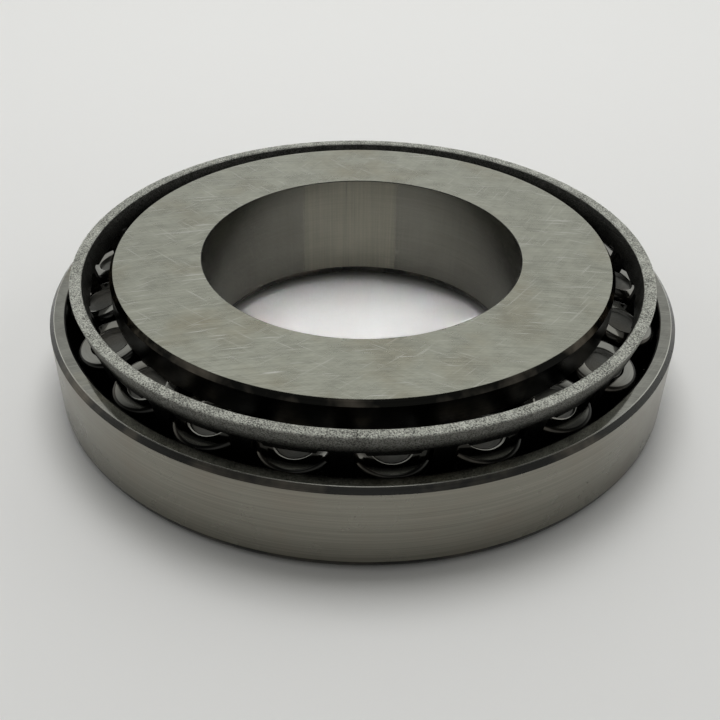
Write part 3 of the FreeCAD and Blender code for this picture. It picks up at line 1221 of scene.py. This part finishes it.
    def shape(self) -> bmesh.types.BMesh:
        """Bend the bar to the cage's wall and foot, and repeat it round the bearing.

        Returns:
            The whole cage, its edges rounded as tumbling leaves them.
        """
        mesh = self.blank()
        for vertex in mesh.verts:
            self.bend_vertex(vertex)
        count = self.section.count
        bmesh.ops.spin(mesh, geom=mesh.verts[:] + mesh.edges[:] + mesh.faces[:],
                       cent=ORIGIN, axis=AXIS, angle=math.tau * (count - 1) / count,
                       steps=count - 1, use_duplicate=True)
        bmesh.ops.remove_doubles(mesh, verts=mesh.verts[:], dist=self.seam_distance)
        bmesh.ops.recalc_face_normals(mesh, faces=mesh.faces[:])
        sharp = [edge for edge in mesh.edges if edge.is_manifold
                 and edge.calc_face_angle() > math.radians(self.sharp_angle)]
        rim_foot = self.rim_height - self.cut_tolerance
        rim = [edge for edge in sharp if min(v.co.z for v in edge.verts) > rim_foot]
        others = [edge for edge in sharp if edge not in rim]
        round_off(mesh, rim, self.rim_rounding, self.rim_steps, "EDGES")
        round_off(mesh, others, self.edge_rounding, self.edge_steps, "EDGES")
        mesh.normal_update()
        return mesh

    def finish_of_face(self, face: bmesh.types.BMFace) -> Finish:
        """The finish of one face: rim and cut edges bright; the wall's outside and inside take
        darker copies of the sheet, painted shade.
        """
        centre = face.calc_center_median()
        facing = face.normal.dot(Vector((centre.x, centre.y, 0.0)).normalized())
        if abs(facing) < self.wall_facing:
            return SHEET
        return SHEET_OUTSIDE_SHADED if facing > 0.0 else SHEET_INSIDE_SHADED

    def build(self) -> None:
        """Press the cage and stand it in for its node."""
        half_pitch = math.pi / self.section.count
        turn = Matrix.Rotation(self.section.azimuth(0) + half_pitch, 4, "Z")
        piece = make_piece("pressed_cage", self.shape(), self.finish_of_face, turn)
        stand_in(piece, "cage", "cage")


# ---------------------------------------------------------------- studio

@dataclass
class Softbox:
    """A square lamp that faces the bearing and isn't mirrored in it; sizes in metres."""

    name: str
    place: tuple[float, float, float]
    width: float
    power: float
    spread: float = 180.0

    def build(self, target: Vector) -> None:
        """Hang the lamp and turn it to its target.

        Args:
            target: the point that the lamp faces, in metres.
        """
        lamp = bpy.data.lights.new(self.name, "AREA")
        lamp.shape = "SQUARE"
        lamp.size = self.width
        lamp.energy = self.power
        lamp.spread = math.radians(self.spread)
        lamp_object = bpy.data.objects.new(self.name, lamp)
        lamp_object.location = self.place
        lamp_object.visible_glossy = False
        facing = (target - Vector(self.place)).to_track_quat("-Z", "Y")
        lamp_object.rotation_euler = facing.to_euler()
        bpy.context.scene.collection.objects.link(lamp_object)


@dataclass(frozen=True)
class MirroredRoom:
    """The room that the bearing's steel mirrors, by direction: X aside, Y behind, Z up."""

    walls: Colour = (0.74, 0.745, 0.72)
    ceiling: Colour = (0.055, 0.055, 0.052)
    overhead_panel: Colour = (0.82, 0.82, 0.80)
    ceiling_span: Span = (0.74, 0.92)
    ceiling_lean: Ramp = (0.2, 0.8, 0.0, 0.30)
    panel_span: Span = (0.966, 0.980)
    height_glow: Ramp = (0.45, 0.68, 0.92, 1.18)
    front_dimming: Ramp = (-0.30, 0.30, 0.55, 1.0)
    left_to_right: Ramp = (-0.6, 0.6, 0.94, 1.06)
    aside_dimming: Ramp = (0.0, 0.4, 1.0, 0.86)
    side_glow: Ramp = (0.5, 0.95, 0.0, 0.4)

    def lay_out(self, graph: NodeGraph, direction: Socket) -> Socket:
        """Add the room's nodes.

        Args:
            graph: the world's tree.
            direction: the direction that is looked in.

        Returns:
            The colour seen in that direction.
        """
        parts = graph.add("ShaderNodeSeparateXYZ", {0: direction}).outputs
        aside = graph.calc("ABSOLUTE", parts["X"])
        sides = graph.calc("ADD", graph.spread(aside, *self.aside_dimming),
                           graph.spread(aside, *self.side_glow))
        share = graph.spread(parts["Z"], *self.height_glow)
        for factor in (graph.spread(parts["Y"], *self.front_dimming),
                       graph.spread(parts["X"], *self.left_to_right), sides):
            share = graph.calc("MULTIPLY", share, factor)
        leaning = graph.calc("ADD", parts["Z"], graph.spread(aside, *self.ceiling_lean))
        raised = graph.spread(leaning, *self.ceiling_span)
        room = graph.tint(raised, self.walls, self.ceiling)
        above = graph.spread(parts["Z"], *self.panel_span)
        return graph.scale(graph.tint(above, room, self.overhead_panel), share)


@dataclass
class Studio:
    """Floor, room, lamps and camera.

    The camera's place, its lens and the floor's drop are millimetres, the rest is metres.
    """

    floor_width: float = 6.0
    floor_drop: float = 0.02
    focal_length: float = 49.05
    sensor_width: float = 36.0
    camera_place: tuple[float, float, float] = (-4.175, -122.56, 85.85)
    camera_pitch: float = 36.37
    camera_roll: float = -0.16
    camera_shift: tuple[float, float] = (0.0389, 0.0236)
    clip_start: float = 0.01
    backdrop: Colour = (0.74, 0.745, 0.72)
    daylight: Colour = (0.235, 0.235, 0.228)
    room: MirroredRoom = MirroredRoom()
    softboxes: tuple[Softbox, ...] = field(default_factory=lambda: (
        Softbox("back_softbox", (0.03, 0.60, 0.45), 0.45, 0.7),
        Softbox("overhead_softbox", (0.0, 0.20, 0.60), 0.36, 2.15),
        Softbox("bore_softbox", (0.0, 0.01, 0.50), 0.04, 0.0021, spread=5.0),
        Softbox("left_softbox", (-0.55, 0.15, 0.35), 0.4, 0.42),
        Softbox("right_softbox", (0.55, 0.20, 0.35), 0.4, 0.52),
    ))

    def lay_floor(self) -> None:
        """A pale floor just under the bearing."""
        mesh = bmesh.new()
        bmesh.ops.create_grid(mesh, x_segments=2, y_segments=2, size=self.floor_width / 2)
        bmesh.ops.translate(mesh, vec=-AXIS * self.floor_drop * METRES, verts=mesh.verts[:])
        data = bpy.data.meshes.new("studio_floor")
        mesh.to_mesh(data)
        mesh.free()
        data.materials.append(FLOOR_PAINT.material())
        floor = bpy.data.objects.new("studio_floor", data)
        bpy.context.scene.collection.objects.link(floor)
        floor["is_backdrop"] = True

    def hang_backdrop(self) -> None:
        """The world: pale to the camera, even as daylight, and a room to the steel's gloss."""
        world = bpy.data.worlds.new("studio_room")
        world.use_nodes = True
        bpy.context.scene.world = world
        graph = NodeGraph(world.node_tree)
        graph.tree.nodes.clear()
        rays = graph.add("ShaderNodeLightPath", {}).outputs
        direction = graph.add("ShaderNodeTexCoord", {}).outputs["Generated"]
        mirrored = graph.calc("MAXIMUM", rays["Is Glossy Ray"], rays["Is Transmission Ray"])
        colour = graph.tint(mirrored, self.daylight, self.room.lay_out(graph, direction))
        colour = graph.tint(rays["Is Camera Ray"], colour, self.backdrop)
        light = graph.add("ShaderNodeBackground", {"Color": colour, "Strength": 1.0})
        graph.add("ShaderNodeOutputWorld", {"Surface": light.outputs[0]})

    def set_camera(self) -> None:
        """Stand the camera in front of the bearing, looking down at it."""
        lens = bpy.data.cameras.new("studio_camera")
        lens.lens = self.focal_length
        lens.sensor_width = self.sensor_width
        lens.shift_x, lens.shift_y = self.camera_shift
        lens.clip_start = self.clip_start
        camera = bpy.data.objects.new("studio_camera", lens)
        place = Matrix.Translation(Vector(self.camera_place) * METRES)
        tip = Matrix.Rotation(math.radians(90.0 - self.camera_pitch), 4, "X")
        roll = Matrix.Rotation(math.radians(self.camera_roll), 4, "Z")
        camera.matrix_world = place @ tip @ roll
        bpy.context.scene.collection.objects.link(camera)
        bpy.context.scene.camera = camera

    def build(self, target: Vector) -> None:
        """Set up the whole studio.

        Args:
            target: the middle of the bearing, which the lamps face, in metres.
        """
        self.lay_floor()
        self.hang_backdrop()
        for softbox in self.softboxes:
            softbox.build(target)
        self.set_camera()
        bpy.context.scene.view_settings.view_transform = "Standard"
        LOG.info("studio: floor, room, %d softboxes and camera", len(self.softboxes))


def main() -> None:
    """Load the frame, build every piece in order, and light it."""
    logging.basicConfig(level=logging.INFO, format="%(message)s")
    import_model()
    cad_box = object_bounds()
    section = RollingSection()
    for piece in (Cup(section), Cone(section), Cage(section), Rollers(section)):
        piece.build()
    low, high = cad_box
    Studio().build((low + high) / 2)


if __name__ == "__main__":
    main()
